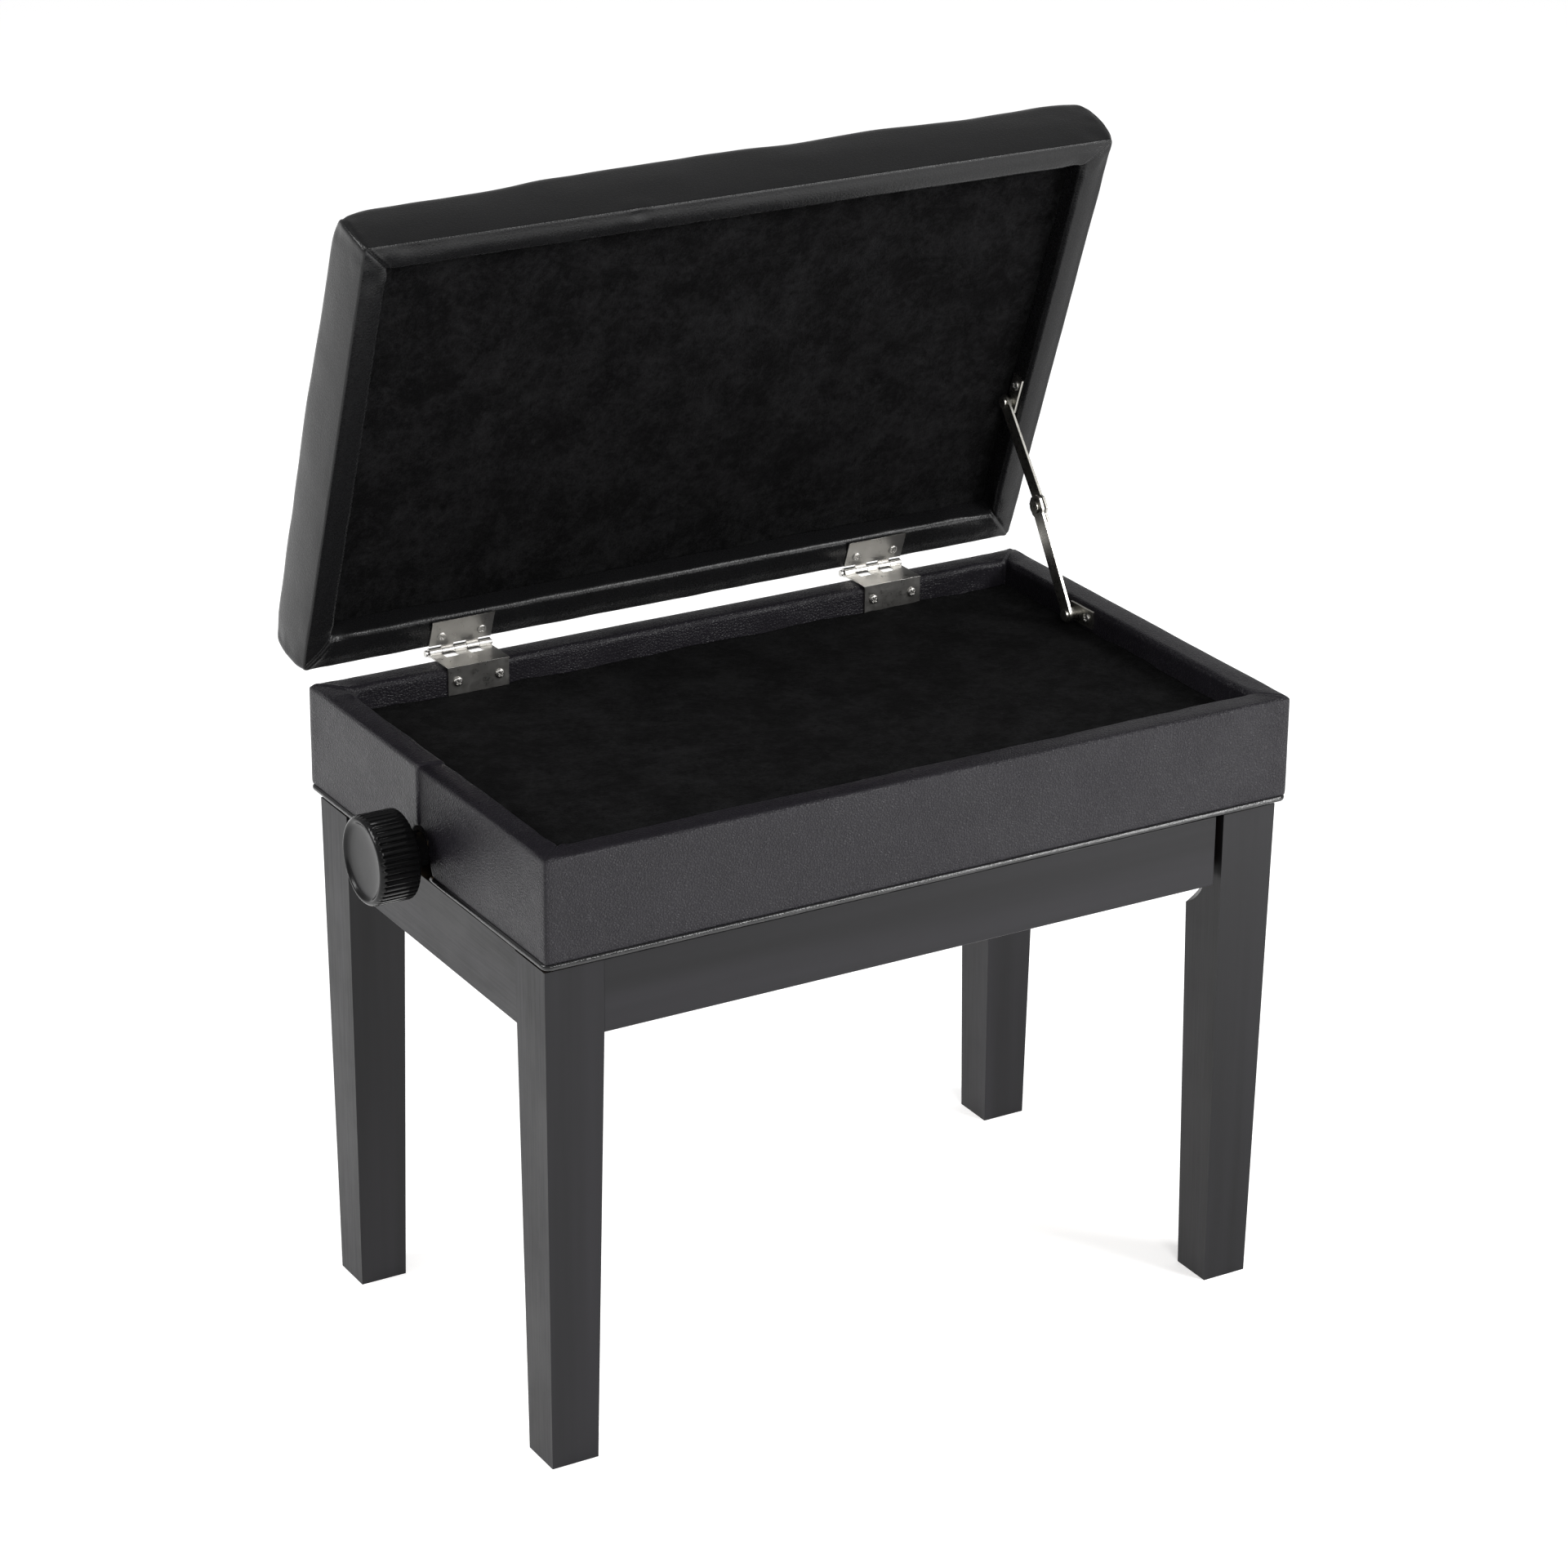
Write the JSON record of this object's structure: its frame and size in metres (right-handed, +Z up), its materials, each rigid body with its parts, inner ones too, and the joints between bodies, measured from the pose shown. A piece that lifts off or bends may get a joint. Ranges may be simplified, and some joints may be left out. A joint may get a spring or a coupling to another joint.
{
  "type": "piano bench",
  "caption": "Height-adjustable piano bench: padded leatherette lid hinged over a shallow music compartment, side knob and scissor lift, tapered black legs.",
  "frame": {"origin": "centre of the leg footprint on the floor", "axes": "+X along the bench to the right as seen from the front, front faces -Y, +Z up"},
  "size_m": [0.5916, 0.38, 0.7604],
  "materials": {
    "wood_black": "satin black lacquer",
    "bare_wood": "plain sawn",
    "leatherette": "fine pebble grain, semi-matt",
    "plush": "short black pile",
    "foam": "upholstery foam",
    "steel": "nickel plated",
    "mech_steel": "black enamel",
    "zinc": "zinc plated",
    "bush": "plain nylon",
    "knob_plastic": "moulded, gloss face"
  },
  "bodies": {
    "base": {"leg_front_left": "wood_black", "leg_front_right": "wood_black", "leg_rear_left": "wood_black", "leg_rear_right": "wood_black", "rail_front": "wood_black", "rail_rear": "wood_black", "rail_left": "wood_black", "rail_right": "wood_black", "corner_blocks": "bare_wood", "hanger_bolts": "zinc", "wing_nuts": "zinc", "lift_plate_left": "mech_steel", "lift_plate_right": "mech_steel", "lower_channel_front": "mech_steel", "lower_channel_rear": "mech_steel", "screw_saddle": "mech_steel", "screw_bushes": "bush", "plate_screws": "zinc", "lower_pivot_pins": "zinc"},
    "seat_box": {"box_wall_front": "bare_wood", "box_wall_rear": "bare_wood", "box_wall_left": "bare_wood", "box_wall_right": "bare_wood", "box_floor": "bare_wood", "box_cover": "leatherette", "box_piping": "leatherette", "compartment_lining": "plush", "upper_channel_front": "mech_steel", "upper_channel_rear": "mech_steel", "upper_pivot_pins": "zinc", "box_screws": "steel", "hinge_leaves_lower": "steel", "hinge_pins": "steel", "stay_bracket_lower": "steel"},
    "lid": {"lid_rail_front": "bare_wood", "lid_rail_rear": "bare_wood", "lid_rail_left": "bare_wood", "lid_rail_right": "bare_wood", "lid_board": "bare_wood", "seat_foam": "foam", "seat_cover": "leatherette", "lid_lining": "plush", "hinge_leaves_upper": "steel", "lid_screws": "steel", "stay_bracket_upper": "steel"},
    "stay_lower": {"stay_arm_lower": "steel", "stay_knee_rivet": "steel"},
    "stay_upper": {"stay_arm_upper": "steel"},
    "scissor_outer": {"scissor_outer_front": "mech_steel", "scissor_outer_rear": "mech_steel", "upper_slide_rod": "zinc", "centre_pins": "zinc"},
    "scissor_inner": {"scissor_inner_front": "mech_steel", "scissor_inner_rear": "mech_steel"},
    "nut": {"trunnion_nut": "zinc", "lower_slide_rods": "zinc"},
    "screw": {"lead_screw": "zinc", "adjusting_knob": "knob_plastic", "screw_collars": "zinc"}
  },
  "joints": [
    {"name": "seat_lift", "type": "slide", "parent": "base", "child": "seat_box", "axis": [0, 0, 1], "range_m": [0, 0.09]},
    {"name": "lid_hinge", "type": "hinge", "parent": "seat_box", "child": "lid", "pos_m": [0, 0.1735, 0.429], "axis": [1, 0, 0], "range_deg": [0, 70.2]},
    {"name": "stay_lower_pivot", "type": "hinge", "parent": "seat_box", "child": "stay_lower", "pos_m": [0.2475, 0.0555, 0.4167], "axis": [1, 0, 0], "range_deg": [-48.8, 0]},
    {"name": "stay_upper_pivot", "type": "hinge", "parent": "lid", "child": "stay_upper", "pos_m": [0.2505, 0.1451, 0.54419], "axis": [1, 0, 0], "range_deg": [0, 48.8]},
    {"name": "scissor_outer_pivot", "type": "hinge", "parent": "base", "child": "scissor_outer", "pos_m": [0.2, 0.004, 0.3705], "axis": [0, 1, 0], "range_deg": [0, 13.1]},
    {"name": "scissor_inner_pivot", "type": "hinge", "parent": "seat_box", "child": "scissor_inner", "pos_m": [0.2, 0.004, 0.389], "axis": [0, 1, 0], "range_deg": [-13.1, 0]},
    {"name": "nut_pivot", "type": "hinge", "parent": "scissor_inner", "child": "nut", "pos_m": [-0.19957, 0.004, 0.3705], "axis": [0, 1, 0], "range_deg": [0, 13.1]},
    {"name": "screw_turn", "type": "hinge", "parent": "base", "child": "screw", "pos_m": [-0.25, 0.004, 0.3705], "axis": [1, 0, 0], "range_deg": [0, 2630]}
  ],
  "couplings": [
    {"joint": "stay_lower_pivot", "follows": "lid_hinge", "ratio": -0.6947},
    {"joint": "stay_upper_pivot", "follows": "lid_hinge", "ratio": 0.6947},
    {"joint": "scissor_outer_pivot", "follows": "seat_lift", "rad_per_m": 2.5381},
    {"joint": "scissor_inner_pivot", "follows": "seat_lift", "rad_per_m": -2.5381},
    {"joint": "nut_pivot", "follows": "seat_lift", "rad_per_m": 2.5381},
    {"joint": "screw_turn", "follows": "seat_lift", "rad_per_m": 508.53}
  ]
}
